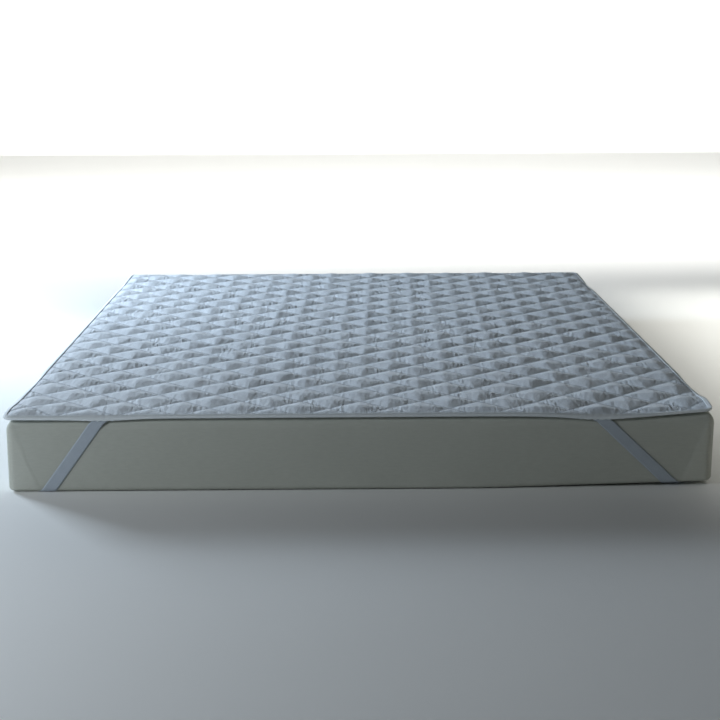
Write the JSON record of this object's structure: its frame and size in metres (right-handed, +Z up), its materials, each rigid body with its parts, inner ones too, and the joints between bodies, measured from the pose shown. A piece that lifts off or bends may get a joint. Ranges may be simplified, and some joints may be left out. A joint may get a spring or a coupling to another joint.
{
  "type": "quilted mattress pad on a mattress",
  "caption": "Diamond-quilted white mattress pad with a bound edge and elastic corner straps, fitted on a plain thin mattress in a grey-olive cover.",
  "frame": {"origin": "middle of the mattress's footprint, on the floor", "axes": "+Z up; +Y along the bed from its foot to its head; +X to the right seen from the foot"},
  "size_m": [1.51, 2.005, 0.1748],
  "materials": {
    "quilted_cotton": "matte",
    "binding_tape": "matte",
    "elastic": "matte",
    "mattress_cover": "matte"
  },
  "bodies": {
    "root": {"mattress": "mattress_cover", "pad": "quilted_cotton", "pad_binding": "binding_tape", "strap_front_left": "elastic", "strap_front_right": "elastic", "strap_rear_left": "elastic", "strap_rear_right": "elastic"}
  },
  "joints": []
}
